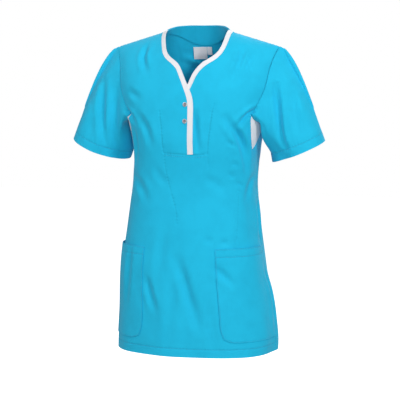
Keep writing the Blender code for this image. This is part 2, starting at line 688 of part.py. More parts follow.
def make_insert(side):
    """White underarm insert, on the wearer's left or right."""
    long_edge = joined(insert_ahead, insert_behind)
    back_corner = [armhole_under[-1]] * (INSERT_ROWS + 1)
    grid = filled(long_edge, armhole_under, insert_front, back_corner)
    if side == "right":
        grid = [mirrored(row) for row in grid]
    cloth(f"insert_{side}", [laid(grid)], WHITE)


def make_sleeve(side):
    """Short sleeve, lofted from the armhole to the hem."""
    flip = 1.0 if side == "left" else -1.0
    across = Vector((flip, 1.0, 1.0))
    ring = [(flip * angle, level) for angle, level in joined(armhole_front, armhole_under, armhole_back)]
    seam = [body(place) for place in ring]
    normals = [body_normal(place) for place in ring]
    lengths = [0.0]
    for a, b in zip(seam, seam[1:]):
        lengths.append(lengths[-1] + (b - a).length)
    bottom = ARMHOLE_ROWS + TIP_COLUMNS
    hem_middle = SLEEVE_HEM_MIDDLE * across
    seam_middle = sum(seam[1:], Vector()) / (len(seam) - 1)
    axis = (hem_middle - seam_middle).normalized()
    hole = body((flip * ARMHOLE_MIDDLE[0], ARMHOLE_MIDDLE[1]))
    columns, angles = [], []
    for k, start in enumerate(seam):
        if k <= bottom:
            around = 180.0 * lengths[k] / lengths[bottom]
        else:
            around = 180.0 + 180.0 * (lengths[k] - lengths[bottom]) / (lengths[-1] - lengths[bottom])
        turn = math.radians(around)
        hem = (SLEEVE_HEM_MIDDLE + SLEEVE_HEM_OUT * math.cos(turn)
               + SLEEVE_HEM_AHEAD * math.sin(turn)) * across
        before = seam[k - 1] if k else seam[-2]
        after = seam[k + 1] if k < len(seam) - 1 else seam[1]
        out = normals[k].cross(after - before).normalized()
        if out.dot(hole - start) < 0.0:
            out = -out
        bend = smooth(-out.dot(axis) / SLEEVE_BEND)
        ahead = start.y - SHOULDER_Y
        round_cap = Vector((0.0, math.copysign(smooth(abs(ahead) / SLEEVE_CAP), ahead), 0.0))
        away = (out.lerp(normals[k], bend * SLEEVE_TURN) + round_cap * (1.0 - bend) * SLEEVE_ROUND).normalized()
        leave = start + away * SLEEVE_SEAM
        length = (hem - leave).length
        first = leave + away * length * SLEEVE_LEAVE
        second = hem - axis * length * SLEEVE_ARRIVE + normals[k] * SLEEVE_CLEAR * bend
        column = [start]
        for part in SLEEVE_ROWS:
            rest = 1.0 - part
            column.append(leave * rest**3 + first * (3.0 * rest**2 * part)
                          + second * (3.0 * rest * part**2) + hem * part**3)
        columns.append(column)
        angles.append(around)
    rows = fold_sleeve([list(row) for row in zip(*columns)], angles, SLEEVE_FOLDS[side],
                       seam_middle, hem_middle)
    grid = []
    for j, row in enumerate(rows):
        pairs = []
        for k, point in enumerate(row):
            normal = normals[k] if j == 0 else sleeve_normal(rows, j, k, seam_middle, hem_middle)
            pairs.append((point, point - normal * WALL))
        pairs[-1] = pairs[0]
        grid.append(pairs)
    cloth(f"sleeve_{side}", [grid], TURQUOISE, SEAM_GAP)


def sleeve_normal(rows, j, k, seam_middle, hem_middle):
    """Unit vector out of a sleeve at one of its points."""
    last = len(rows[j]) - 1
    before, after = rows[j][k - 1 if k else last - 1], rows[j][k + 1 if k < last else 1]
    above, below = rows[j - 1][k], rows[min(j + 1, len(rows) - 1)][k]
    normal = (after - before).cross(below - above).normalized()
    flip = 1.0 if hem_middle.x > seam_middle.x else -1.0
    return normal * flip * SLEEVE_HAND


def fold_sleeve(rows, angles, folds, seam_middle, hem_middle):
    """Rows of a sleeve pressed in along its folds."""
    result = [list(row) for row in rows]
    for j in range(2, len(rows)):
        share = SLEEVE_ROWS[j - 1]
        centre = seam_middle.lerp(hem_middle, share)
        for k, around in enumerate(angles):
            depth = 0.0
            for _, angle_a, angle_b, start, end, half_width, deep in folds:
                part = (share - start) / (end - start)
                away = (around - angle_a - (angle_b - angle_a) * part + 180.0) % 360.0 - 180.0
                fade = smooth(part / 0.3) * (1.0 if end >= 1.0 else 1.0 - smooth((part - 0.7) / 0.3))
                depth += deep * fade * math.exp(-((away / half_width) ** 2))
            result[j][k] = rows[j][k] + (centre - rows[j][k]).normalized() * depth
    return result


# Snaps

def make_snap(name, height):
    """Domed snap cap, turned from a profile and set on the cloth."""
    profile = [
        # radius and height in shares of the snap's own
        (0.00, 0.62), (0.42, 0.62), (0.56, 0.80), (0.74, 1.00), (0.90, 0.86), (1.00, 0.45), (0.96, 0.00),
        (0.00, 0.00),
    ]
    shape = bpy.data.meshes.new(name)
    points = [(share * SNAP_RADIUS, 0.0, rise * SNAP_HEIGHT) for share, rise in profile]
    shape.from_pydata(points, [(i, i + 1) for i in range(len(points) - 1)], [])
    snap = new_piece(name, shape, SNAP_METAL)
    turned = snap.modifiers.new("turned", "SCREW")
    turned.steps = turned.render_steps = 18
    turned.use_merge_vertices = True
    turned.merge_threshold = 0.00005
    turned.use_smooth_shade = True
    place = seen_at(SNAP_X, height)
    snap.location = body(place, SEAM_GAP)
    snap.rotation_mode = "QUATERNION"
    snap.rotation_quaternion = outward(folded_body, *place).to_track_quat("Z", "Y")


def main():
    """Build every piece of the top."""
    for old in list(bpy.data.objects):
        bpy.data.objects.remove(old)
    bpy.context.scene.collection.children.link(bpy.data.collections.new(OBJECT_NAME))
    make_front()
    make_back()
    for side in ("right", "left"):
        make_insert(side)
        make_sleeve(side)
    make_pockets()
    make_bindings()
    make_facing()
    make_labels()
    for name, height in SNAP_HEIGHTS.items():
        make_snap(name, height)


main()
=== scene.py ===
import math
import bmesh
import bpy
import numpy as np
from mathutils import Matrix, Vector
from mathutils.bvhtree import BVHTree
from mathutils.kdtree import KDTree


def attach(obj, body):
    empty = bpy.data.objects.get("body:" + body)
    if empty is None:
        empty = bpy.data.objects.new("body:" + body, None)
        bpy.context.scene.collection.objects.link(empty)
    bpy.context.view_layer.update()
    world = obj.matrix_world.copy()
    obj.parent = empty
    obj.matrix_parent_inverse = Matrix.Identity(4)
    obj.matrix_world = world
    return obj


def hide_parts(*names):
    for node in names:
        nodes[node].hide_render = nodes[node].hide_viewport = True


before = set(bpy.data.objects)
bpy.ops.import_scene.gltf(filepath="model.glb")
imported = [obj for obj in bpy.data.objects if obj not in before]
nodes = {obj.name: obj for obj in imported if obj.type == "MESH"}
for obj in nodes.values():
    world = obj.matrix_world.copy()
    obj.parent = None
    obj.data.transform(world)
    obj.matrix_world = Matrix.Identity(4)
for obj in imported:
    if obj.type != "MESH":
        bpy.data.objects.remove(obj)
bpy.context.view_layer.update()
print("frame loaded:", len(nodes), "pieces")

# the skins: the outside of each cloth piece, taken from its solid

clothCut = {"weld": 2e-5,          # joins the loose triangles
            "rimTurn": 0.90,       # an edge that turns more than this is the rim of the cloth
            "cornerTurn": 0.70,    # a rim that turns more than this starts a new run
            "joinTurn": 1.2,       # triangles flatter than this make quads
            "joinShape": 1.6,
            "fine": 2}             # subdivision of the cloth


def outerSkin(name):
    # the wall of a solid falls into an outside, an inside and the rims between them
    bm = bmesh.new()
    bm.from_mesh(nodes[name].data)
    bmesh.ops.remove_doubles(bm, verts=bm.verts, dist=clothCut["weld"])
    bm.normal_update()
    side = {}
    areas = []
    for first in bm.faces:
        if first in side:
            continue
        stack, area = [first], 0.0
        side[first] = len(areas)
        while stack:
            here = stack.pop()
            area += here.calc_area()
            for edge in here.edges:
                if len(edge.link_faces) == 2 and edge.calc_face_angle(0.0) < clothCut["rimTurn"]:
                    for other in edge.link_faces:
                        if other not in side:
                            side[other] = len(areas)
                            stack.append(other)
        areas.append(area)
    keep = areas.index(max(areas))
    bmesh.ops.delete(bm, geom=[f for f in bm.faces if side[f] != keep], context="FACES")
    return bm


def rimRuns(bm):
    # the rims of a skin in order, cut at their corners
    follow = {}
    for edge in bm.edges:
        if edge.is_boundary:
            for vert in edge.verts:
                follow.setdefault(vert, []).append(edge.other_vert(vert))
    runs, seen = [], set()
    for start in follow:
        if start in seen:
            continue
        loop = [start]
        seen.add(start)
        while True:
            ahead = [v for v in follow[loop[-1]] if v not in seen]
            if not ahead:
                break
            loop.append(ahead[0])
            seen.add(ahead[0])
        place = [v.co.copy() for v in loop]
        count = len(place)
        turned = [(place[i] - place[i - 1]).angle(place[(i + 1) % count] - place[i], 0.0)
                  for i in range(count)]
        corners = [i for i in range(count) if turned[i] > clothCut["cornerTurn"]]
        if not corners:
            runs.append(np.array([tuple(p) for p in place + place[:1]]))
        for i, corner in enumerate(corners):
            last = corners[(i + 1) % len(corners)]
            length = (last - corner) % count or count
            runs.append(np.array([tuple(place[(corner + k) % count]) for k in range(length + 1)]))
    return runs


def fineSkin(name):
    # quads from the triangles, then a smooth subdivision whose corners stay put
    bm = outerSkin(name)
    runs = rimRuns(bm)
    bmesh.ops.join_triangles(bm, faces=bm.faces, angle_face_threshold=clothCut["joinTurn"],
                             angle_shape_threshold=clothCut["joinShape"])
    mesh = bpy.data.meshes.new("skin_" + name)
    bm.to_mesh(mesh)
    bm.free()
    body = bpy.data.objects.new("skin_" + name, mesh)
    bpy.context.scene.collection.objects.link(body)
    smooth = body.modifiers.new("smooth", "SUBSURF")
    smooth.levels = smooth.render_levels = clothCut["fine"]
    smooth.boundary_smooth = "PRESERVE_CORNERS"
    asSeen = body.evaluated_get(bpy.context.evaluated_depsgraph_get())
    fine = bpy.data.meshes.new_from_object(asSeen)
    bpy.data.objects.remove(body)
    bpy.data.meshes.remove(mesh)
    return fine, runs


clothNames = ["front", "back", "sleeve_right", "sleeve_left", "insert_right", "insert_left",
              "pocket_right", "pocket_left", "back_neck_facing", "binding_right", "binding_left",
              "label", "label_tab"]
skins, rims = {}, {}
for name in clothNames:
    skins[name], rims[name] = fineSkin(name)


def places(mesh):
    spots = np.empty(len(mesh.vertices) * 3)
    mesh.vertices.foreach_get("co", spots)
    return spots.reshape(-1, 3)


def facing(mesh):
    turns = np.empty(len(mesh.vertices) * 3)
    mesh.vertices.foreach_get("normal", turns)
    return turns.reshape(-1, 3)


def setPlaces(mesh, spots):
    mesh.vertices.foreach_set("co", spots.reshape(-1))
    mesh.update()


def treeOf(names):
    corners, faces = [], []
    for name in names:
        base = len(corners)
        corners += [v.co.copy() for v in skins[name].vertices]
        faces += [[base + i for i in p.vertices] for p in skins[name].polygons]
    return BVHTree.FromPolygons(corners, faces)


print("skins made:", sum(len(m.polygons) for m in skins.values()), "quads")

# folds: soft troughs with a ridge beside them, pressed into every outer cloth skin that they pass

# columns: depth, half width, ridge on one side, ridge on the other, path, all in millimetres
# but the ridges, which are shares of the depth; front and back paths are (x, z), side paths (y, z)
folds = {
    "front": [
        (2.0, 9, .5, .3, [(116, -40), (112, -66), (106, -90), (100, -112)]),
        (1.7, 8, .5, .2, [(135, -52), (128, -77), (118, -100)]),
        (4.2, 6, .7, .3, [(148, -171), (136, -179), (124, -192), (114, -206)]),
        (3.4, 9, .6, .4, [(89, -188), (101, -208), (111, -223), (119, -249), (124, -275), (126, -303)]),
        (2.4, 7, .3, .5, [(108, -206), (122, -236), (131, -276)]),
        (1.6, 5, .5, .5, [(97, -240), (105, -250)]),
        (1.6, 5, .5, .5, [(100, -287), (113, -294)]),
        (1.5, 5, .5, .5, [(93, -309), (103, -318)]),
        (1.5, 5, .5, .5, [(109, -331), (120, -339)]),
        (2.4, 7, .2, .5, [(23, -176), (25, -215), (30, -256)]),
        (1.5, 9, .3, .3, [(-140, -132), (-123, -141), (-108, -148)]),
        (2.4, 8, .4, .4, [(-109, -34), (-111, -60), (-98, -88)]),
        (2.3, 12, .5, .5, [(-14, -498), (4, -548), (18, -595), (40, -650)]),
        (2.4, 9, .5, .3, [(74, -515), (90, -533), (106, -551)]),
        (1.6, 7, .4, .4, [(50, -452), (62, -458)]),
        (1.6, 7, .4, .4, [(82, -458), (95, -463)]),
        (2.4, 9, .5, .4, [(-86, -545), (-76, -579), (-64, -612)]),
        (1.3, 11, .5, .5, [(-130, -320), (-107, -342), (-90, -376)]),
        (1.2, 9, .4, .4, [(136, -316), (129, -339), (124, -373)]),
        (1.0, 9, .4, .4, [(138, -380), (144, -430), (149, -468)]),
        (1.9, 10, .4, .5, [(-112, -184), (-91, -212), (-79, -248)]),
        (3.2, 7, .6, .4, [(-146, -176), (-134, -186), (-121, -203)]),
        (1.8, 8, .4, .4, [(-126, -215), (-122, -250), (-125, -290)]),
        (1.0, 12, .4, .4, [(-40, -430), (-52, -480), (-58, -540)]),
        (1.6, 9, .4, .4, [(-130, -480), (-136, -540), (-141, -600)]),
        (1.1, 13, .4, .4, [(-20, -560), (-28, -620), (-34, -690)]),
        (1.1, 12, .4, .4, [(60, -600), (66, -650), (74, -700)]),
        (.8, 10, .4, .4, [(-70, -295), (-58, -318), (-40, -334)]),
        (.8, 10, .4, .4, [(40, -318), (66, -330), (88, -352)]),
        (3.0, 10, .5, .4, [(-213, -112), (-212, -150), (-210, -190), (-206, -233), (-201, -268)]),
        (2.4, 12, .4, .3, [(-176, -130), (-180, -180), (-182, -240), (-186, -280)]),
        (3.4, 8, .3, .6, [(187, -120), (194, -170), (203, -232), (213, -254)]),
        (1.6, 10, .4, .4, [(222, -124), (230, -166), (238, -214)])],
    "back": [
        (3.6, 7, .6, .4, [(146, -170), (133, -180), (112, -204), (98, -232)]),
        (3.2, 8, .5, .4, [(-147, -168), (-131, -183), (-114, -209), (-103, -243)]),
        (2.6, 9, .4, .4, [(118, -38), (112, -70), (100, -104)]),
        (2.3, 8, .4, .4, [(-121, -40), (-113, -66), (-106, -96)]),
        (2.0, 9, .4, .4, [(-52, -60), (-20, -72), (18, -73), (50, -64)]),
        (3.0, 10, .5, .4, [(124, -318), (92, -338), (48, -346)]),
        (2.6, 9, .4, .5, [(-128, -334), (-100, -352), (-62, -356)]),
        (2.4, 10, .4, .4, [(70, -372), (30, -380), (-18, -376)]),
        (2.2, 11, .4, .4, [(-40, -322), (-6, -318), (34, -326)]),
        (2.4, 13, .5, .4, [(-66, -470), (-78, -550), (-84, -640), (-90, -712)]),
        (2.8, 14, .4, .5, [(22, -480), (30, -560), (34, -640), (42, -716)]),
        (2.2, 12, .4, .4, [(104, -500), (116, -580), (124, -660)]),
        (1.8, 9, .4, .4, [(-128, -430), (-136, -490), (-140, -540)]),
        (1.8, 12, .4, .4, [(-18, -150), (-12, -200), (-16, -260)]),
        (1.6, 9, .4, .4, [(60, -140), (66, -190), (60, -230)]),
        (2.4, 11, .5, .4, [(-206, -105), (-211, -150), (-214, -195), (-216, -235)]),
        (1.8, 12, .4, .4, [(-180, -120), (-184, -170), (-190, -225)]),
        (2.2, 11, .4, .5, [(209, -104), (215, -155), (214, -200), (219, -238)]),
        (1.7, 12, .4, .4, [(182, -126), (186, -176), (190, -228)])],
    "right side": [
        (2.2, 9, .4, .4, [(-2, -380), (10, -420), (14, -470)]),
        (1.6, 10, .4, .4, [(24, -290), (30, -330), (28, -370)]),
        (2.0, 10, .4, .4, [(4, -520), (-4, -590), (6, -660)])],
    "left side": [
        (2.2, 9, .4, .4, [(8, -372), (0, -420), (-8, -462)]),
        (1.6, 10, .4, .4, [(30, -286), (26, -326), (32, -366)]),
        (2.0, 10, .4, .4, [(-6, -520), (6, -585), (-2, -665)])]}
lookFrom = {"front": lambda u, v: (Vector((u, -1.0, v)), Vector((0, 1, 0))),
            "back": lambda u, v: (Vector((u, 1.0, v)), Vector((0, -1, 0))),
            "right side": lambda u, v: (Vector((-1.0, u, v)), Vector((1, 0, 0))),
            "left side": lambda u, v: (Vector((1.0, u, v)), Vector((-1, 0, 0)))}
foldForm = {"strength": 2.1,      # times the depths above
            "narrow": .80,        # times the half widths above
            "reach": 4.0,         # in half widths
            "ridgeAt": 1.9,
            "ridgeWide": .95,
            "fade": .75,          # lower is fuller towards the ends
            "through": .03,       # cloth farther off than this, along its turn, is another layer
            "pathStep": .012}
outerCloth = ["front", "back", "sleeve_right", "sleeve_left", "insert_right", "insert_left",
              "pocket_right", "pocket_left"]


def curveThrough(points, step):
    # a smooth line through a few points
    points = np.array(points, float)
    if len(points) == 2:
        count = max(2, int(np.linalg.norm(points[1] - points[0]) / step) + 1)
        return points[0] + (points[1] - points[0]) * np.linspace(0, 1, count)[:, None]
    ends = np.vstack([2 * points[0] - points[1], points, 2 * points[-1] - points[-2]])
    out = []
    for i in range(1, len(ends) - 2):
        a, b, c, d = ends[i - 1:i + 3]
        count = max(2, int(np.linalg.norm(c - b) / step) + 1)
        t = np.linspace(0, 1, count, endpoint=i == len(ends) - 3)[:, None]
        out.append(.5 * (2 * b + (c - a) * t + (2 * a - 5 * b + 4 * c - d) * t ** 2
                         + (3 * b - a - 3 * c + d) * t ** 3))
    return np.vstack(out)


def landOn(tree, side, path, step):
    # a drawn path, laid on the cloth seen from one side
    spots, turns = [], []
    for u, v in curveThrough(np.array(path, float) / 1000.0, step):
        start, way = lookFrom[side](u, v)
        spot, turn, face, far = tree.ray_cast(start, way)
        if spot is not None:
            spots.append(tuple(spot))
            turns.append(tuple(turn if turn.dot(way) < 0 else -turn))
    spots, turns = np.array(spots), np.array(turns)
    if len(turns) > 2:
        turns[1:-1] = turns[1:-1] + .5 * (turns[:-2] + turns[2:])
    turns /= np.linalg.norm(turns, axis=1)[:, None]
    return spots, turns


def alongPath(spots, path, turns, reach):
    # for the points near a path: how far to its side, which side, how far along, its own turn
    inBox = (spots > path.min(0) - reach) & (spots < path.max(0) + reach)
    near = np.where(np.all(inBox, axis=1))[0]
    best = np.full(len(near), np.inf)
    hand, along = np.zeros(len(near)), np.zeros(len(near))
    turn = np.zeros((len(near), 3))
    here = spots[near]
    for i in range(len(path) - 1):
        a, line = path[i], path[i + 1] - path[i]
        if line @ line < 1e-10:      # two points of the path in one place
            continue
        t = np.clip((here - a) @ line / (line @ line), 0, 1)
        off = here - a - t[:, None] * line
        up = turns[i] + t[:, None] * (turns[i + 1] - turns[i])
        up /= np.linalg.norm(up, axis=1)[:, None]
        lift = np.einsum("ij,ij->i", off, up)
        flat = off - lift[:, None] * up
        beyond = np.maximum(np.abs(lift) - foldForm["through"], 0)
        far = np.sqrt(np.einsum("ij,ij->i", flat, flat) + beyond ** 2)
        closer = far < best
        best[closer] = far[closer]
        aside = np.cross(line, up[closer])
        hand[closer] = np.sign(np.einsum("ij,ij->i", flat[closer], aside))
        along[closer] = (i + t[closer]) / (len(path) - 1)
        turn[closer] = up[closer]
    return near, best, hand, along, turn


def pressFolds(spots, facingOut, laidFolds):
    moved = spots.copy()
    for depth, wide, ridgeA, ridgeB, path, turns in laidFolds:
        near, far, hand, along, turn = alongPath(spots, path, turns, foldForm["reach"] * wide)
        if not len(near):
            continue
        fade = np.sin(np.pi * np.clip(along * .92 + .04, 0, 1)) ** foldForm["fade"]
        ridge = np.where(hand > 0, ridgeA, ridgeB)
        fromRidge = (far - foldForm["ridgeAt"] * wide) / (foldForm["ridgeWide"] * wide)
        form = -np.exp(-(far / wide) ** 2) + ridge * np.exp(-fromRidge ** 2)
        # cloth that faces another way than the path keeps its place
        same = np.clip((np.einsum("ij,ij->i", facingOut[near], turn) + .1) / .5, 0, 1)
        moved[near] += (depth * fade * form * same)[:, None] * turn
    return moved


# the slow unevenness of cloth that hangs from the shoulders
ease = {"waves": [(.0009, 3.1, 9.0, .7, 7.3, 1.9),       # height, turns around, slant, its start,
                  (.0007, 7.0, -14.0, 2.1, 17.0, .4),    # turns downwards, their start
                  (.00035, 13.0, 31.0, 0.0, 23.0, 1.1)],
        "flatten": .6,            # the body is that much narrower from back to front
        "upper": .55,             # share of the waves at the shoulders, and what the hem adds
        "lower": .9,
        "tuckLeft": .0055,        # the hem corners turn in
        "tuckRight": .0015}


def easeCloth(spots):
    x, y, z = spots.T
    around = np.arctan2(y, x * ease["flatten"])
    lift = sum(height * np.sin(turns * around + slant * z + start) * np.sin(down * z + downStart)
               for height, turns, slant, start, down, downStart in ease["waves"])
    lift *= ease["upper"] + ease["lower"] * np.clip((-z - .45) / .25, 0, 1)
    corner = np.clip((-z - .655) / .055, 0, 1) ** 2 * np.clip((np.abs(x) - .14) / .04, 0, 1)
    lift -= np.where(x > 0, ease["tuckLeft"], ease["tuckRight"]) * corner
    way = np.stack([x * ease["flatten"], y, np.zeros_like(z)], axis=1)
    way /= np.linalg.norm(way, axis=1)[:, None]
    return spots + lift[:, None] * way * np.clip((-z - .01) / .05, 0, 1)[:, None]


plainTree = treeOf(outerCloth)
bodyTree = treeOf([name for name in outerCloth if not name.startswith("sleeve")])
laid = []
for side, rows in folds.items():
    castOn = bodyTree if side.endswith("side") else plainTree
    for depth, wide, ridgeA, ridgeB, path in rows:
        spots, turns = landOn(castOn, side, path, foldForm["pathStep"])
        laid.append((depth * foldForm["strength"] / 1000.0, wide * foldForm["narrow"] / 1000.0,
                     ridgeA, ridgeB, spots, turns))

# where cloth sags or leans: centre and reach in millimetres, and the shift there
leans = {"sleeve_right": [((-152, 14, -240), 66, (15.0, 0.0, 0.0))],
         "sleeve_left": [((164, -34, -234), 48, (-13.0, -2.0, 0.0))]}


def leanCloth(spots, rows):
    for middle, reach, shift in rows:
        far = np.linalg.norm(spots * 1000.0 - np.array(middle), axis=1) / reach
        spots = spots + np.clip(1 - far ** 2, 0, 1)[:, None] ** 2 * np.array(shift) / 1000.0
    return spots


for name in clothNames:
    spots, turns = places(skins[name]), facing(skins[name])
    if name in outerCloth:
        spots = pressFolds(spots, turns, laid)
    setPlaces(skins[name], leanCloth(easeCloth(spots), leans.get(name, [])))


seamReach = .0009     # rims nearer than this to each other are sewn together


def closeSeams(names, reach):
    # the rims of two pieces that are sewn together meet halfway
    rimSpots = []
    for name in names:
        bm = bmesh.new()
        bm.from_mesh(skins[name])
        rimSpots += [(name, v.index, v.co.copy()) for v in bm.verts if v.is_boundary]
        bm.free()
    tree = KDTree(len(rimSpots))
    for i, (name, index, spot) in enumerate(rimSpots):
        tree.insert(spot, i)
    tree.balance()
    for name, index, spot in rimSpots:
        others = [co for co, i, far in tree.find_range(spot, reach) if rimSpots[i][0] != name]
        if others:
            nearest = min(others, key=lambda co: (co - spot).length)
            skins[name].vertices[index].co = (spot + nearest) / 2
    for name in names:
        skins[name].update()


closeSeams([name for name in outerCloth if not name.startswith("pocket")], seamReach)
print("folds pressed:", len(laid))

# seams and stitching: each line is sunk into the cloth, then stitches are laid in it

sewing = {"sink": .00050,      # depth of a sewn line
          "sinkWide": .0013,
          "pucker": .00028,    # ripple beside a sewn line
          "puckerWide": .006,
          "reach": .018,       # cloth farther off than this is left alone
          "lineStep": .004,
          "fineBeside": (.0065, .0034),     # the cloth is refined twice, nearer and nearer
          "fineEdge": .0011,   # shorter edges aren't cut again
          "shadeWide": .0011,  # width of the painted shade line along a seam
          "shadeEnds": .02,
          "stitch": .0026,     # length of a stitch
          "pitch": .0034,      # from one stitch to the next
          "thread": .00032,
          "proud": .35}        # share of the thread's thickness that stands above the cloth


def evenly(points, step):
    points = np.asarray(points, float)
    lengths = np.concatenate([[0], np.cumsum(np.linalg.norm(np.diff(points, axis=0), axis=1))])
    count = max(2, int(round(lengths[-1] / step)) + 1)
    want = np.linspace(0, lengths[-1], count)
    return np.stack([np.interp(want, lengths, points[:, k]) for k in range(3)], axis=1)


def runBy(name, spot):
    # the run of a piece's rim that passes nearest to a place given in millimetres
    spot = np.array(spot) / 1000.0
    return min(rims[name], key=lambda run: np.linalg.norm(
        evenly(run, sewing["lineStep"]) - spot, axis=1).min())


def settled(tree, points):
    spots, turns = [], []
    for p in points:
        spot, turn, face, far = tree.find_nearest(Vector(p))
        spots.append(tuple(spot))
        turns.append(tuple(turn))
    return np.array(spots), np.array(turns)


def insideRim(tree, run, offset):
    # a line on the cloth at an even distance inside a rim
    line = evenly(run, sewing["lineStep"])
    spots, turns = settled(tree, line)
    tangent = np.gradient(line, axis=0)
    tangent /= np.linalg.norm(tangent, axis=1)[:, None]
    across = np.cross(turns, tangent)
    across /= np.linalg.norm(across, axis=1)[:, None]
    choices = []
    for sign in (1, -1):
        moved = line + sign * offset * across
        there, up = settled(tree, moved)
        choices.append((np.median(np.linalg.norm(there - moved, axis=1)), there, up))
    return min(choices, key=lambda choice: choice[0])[1:]


skinTrees = {name: treeOf([name]) for name in clothNames}
sewnLines = []     # piece, spots, turns, depth, stitched, wide, pucker


def sew(name, line, depth=1.0, stitched=True, wide=1.0, pucker=1.0):
    spots, turns = line
    if len(spots) > 1:
        sewnLines.append((name, spots, turns, depth, stitched, wide, pucker))


# distances of the stitch lines from their edges
hem = {"body": .0185, "sleeve": .0195, "pocket": .0175, "pocketEdge": .0018, "backNeck": .0052}
for name, spot in (("front", (0, -96, -728)), ("back", (0, 96, -728))):
    sew(name, insideRim(skinTrees[name], runBy(name, spot), hem["body"]))
for side in ("right", "left"):
    sleeve, pocket = "sleeve_" + side, "pocket_" + side
    cuff = min(rims[sleeve], key=lambda run: run[:, 2].mean())
    sew(sleeve, insideRim(skinTrees[sleeve], cuff, hem["sleeve"]))
    for run in rims[pocket]:
        if np.ptp(run[:, 2]) < .02 and run[:, 2].mean() > -.5:      # level and high: the top
            sew(pocket, insideRim(skinTrees[pocket], run, hem["pocket"]))
        sew(pocket, insideRim(skinTrees[pocket], run, hem["pocketEdge"]), depth=.5, wide=.7, pucker=.3)

# rims that are seams, each by a place on it in millimetres
rimSeams = {"front": [(-132, 5, -17), (132, 5, -17), (-168, -31, -96), (168, -31, -96),
                      (-137, -54, -223), (137, -54, -223), (-163, 1, -473), (163, 1, -473)],
            "back": [(164, 12, -281), (127, 6, -16), (-127, 6, -16), (-164, 12, -281)],
            "sleeve_left": [(168, -30, -96), (175, 26, -76), (153, -4, -176)],
            "sleeve_right": [(-168, -30, -96), (-175, 26, -76), (-153, -4, -176)]}
for name, seamSpots in rimSeams.items():
    for spot in seamSpots:
        line = settled(skinTrees[name], evenly(runBy(name, spot), sewing["lineStep"]))
        sew(name, line, depth=.9, stitched=False, wide=1.4, pucker=1.3)
for name in ("insert_right", "insert_left"):
    for run in rims[name]:
        line = settled(skinTrees[name], evenly(run, sewing["lineStep"]))
        sew(name, line, stitched=False, pucker=.7)
neckSpots, neckTurns = insideRim(skinTrees["back"], runBy("back", (0, 32, 9)), hem["backNeck"])
sew("back", (neckSpots[1:-1], neckTurns[1:-1]))

# lines inside the front: depth, path (x, z) in millimetres
frontLines = [(1.3, [(-59, -174), (-53.5, -218), (-49.5, -266)]),                         # dart
              (.7, [(-48, -268), (-43, -310), (-32, -350), (-20, -388), (-16, -420)]),
              (1.3, [(64, -158), (60.0, -180), (55.5, -217), (50.5, -267)]),              # dart
              (.7, [(51, -270), (53, -300)]),
              (.4, [(112, -345), (112, -400), (111, -462)]),
              (1.3, [(-49, -266), (-25, -267.5), (6, -269), (30, -269), (50, -267)])]     # cross seam
crossStitches = [(-47, -271), (-25, -272.5), (6, -274), (30, -274), (49, -272)]
for depth, path in frontLines:
    line = landOn(skinTrees["front"], "front", path, sewing["lineStep"])
    sew("front", line, depth=depth, stitched=False, wide=1.3)
sew("front", landOn(skinTrees["front"], "front", crossStitches, sewing["lineStep"]),
    depth=.6, pucker=.5)
print("sewn lines laid:", len(sewnLines))


def sinkLines(name):
    # finer cloth beside each sewn line, then the line itself and its puckers
    mesh = skins[name]
    lines = [row for row in sewnLines if row[0] == name]
    if not lines:
        return
    marks = np.vstack([evenly(row[1], sewing["lineStep"] / 2) for row in lines])
    tree = KDTree(len(marks))
    for i, mark in enumerate(marks):
        tree.insert(mark, i)
    tree.balance()
    bm = bmesh.new()
    bm.from_mesh(mesh)
    for reach in sewing["fineBeside"]:
        close = {v: tree.find(v.co)[2] < reach for v in bm.verts}
        edges = [e for e in bm.edges
                 if close[e.verts[0]] and close[e.verts[1]] and e.calc_length() > sewing["fineEdge"]]
        bmesh.ops.subdivide_edges(bm, edges=edges, cuts=1, use_grid_fill=True)
    bm.to_mesh(mesh)
    bm.free()
    mesh.update()
    spots = places(mesh)
    moved = spots.copy()
    paintedSeamShade = np.zeros(len(spots))
    for row, (piece, path, turns, depth, stitched, wide, pucker) in enumerate(lines):
        length = np.linalg.norm(np.diff(path, axis=0), axis=1).sum()
        near, far, hand, along, turn = alongPath(spots, path, turns, sewing["reach"])
        if not len(near):
            continue
        run = along * length
        sunk = sewing["sink"] * depth * np.exp(-(far / (sewing["sinkWide"] * wide)) ** 2)
        # waves of about 11, 27 and 7 mm, and each line starts elsewhere in them
        wave = (np.sin(run * 560 + 1.7 * row) * np.sin(run * 231 + .9 * row)
                + .5 * np.sin(run * 930 + row))
        ripple = sewing["pucker"] * pucker * np.exp(-far / sewing["puckerWide"]) * wave
        moved[near] += (ripple - sunk)[:, None] * turn
        ends = 1.0
        if not stitched:
            ends = np.clip(np.minimum(along, 1 - along) * length / sewing["shadeEnds"], 0, 1)
        # painted shade: a darker line along each sewn line, standing in for the shade in the seam's
        # groove
        shade = np.exp(-(far / (sewing["shadeWide"] * wide)) ** 2)
        paintedSeamShade[near] = np.maximum(paintedSeamShade[near], depth * .5 * ends * shade)
    setPlaces(mesh, moved)
    # the painted seam shade is stored in the seam attribute
    mesh.attributes.new("seam", "FLOAT", "POINT").data.foreach_set("value", paintedSeamShade)


for name in clothNames:
    sinkLines(name)
print("lines sunk:", {name: len(skins[name].polygons) for name in clothNames})


# materials

def newMaterial(name, colour, roughness, **more):
    material = bpy.data.materials.new(name)
    material.use_nodes = True
    tree = material.node_tree
    shader = tree.nodes["Principled BSDF"]
    shader.inputs["Base Color"].default_value = (*colour, 1.0)
    shader.inputs["Roughness"].default_value = roughness
    for socket, value in more.items():
        shader.inputs[socket].default_value = value
    return material, tree, shader


def addNode(tree, kind, **more):
    node = tree.nodes.new(kind)
    for key, value in more.items():
        if key in node.inputs:
            node.inputs[key].default_value = value
        else:
            setattr(node, key, value)
    return node


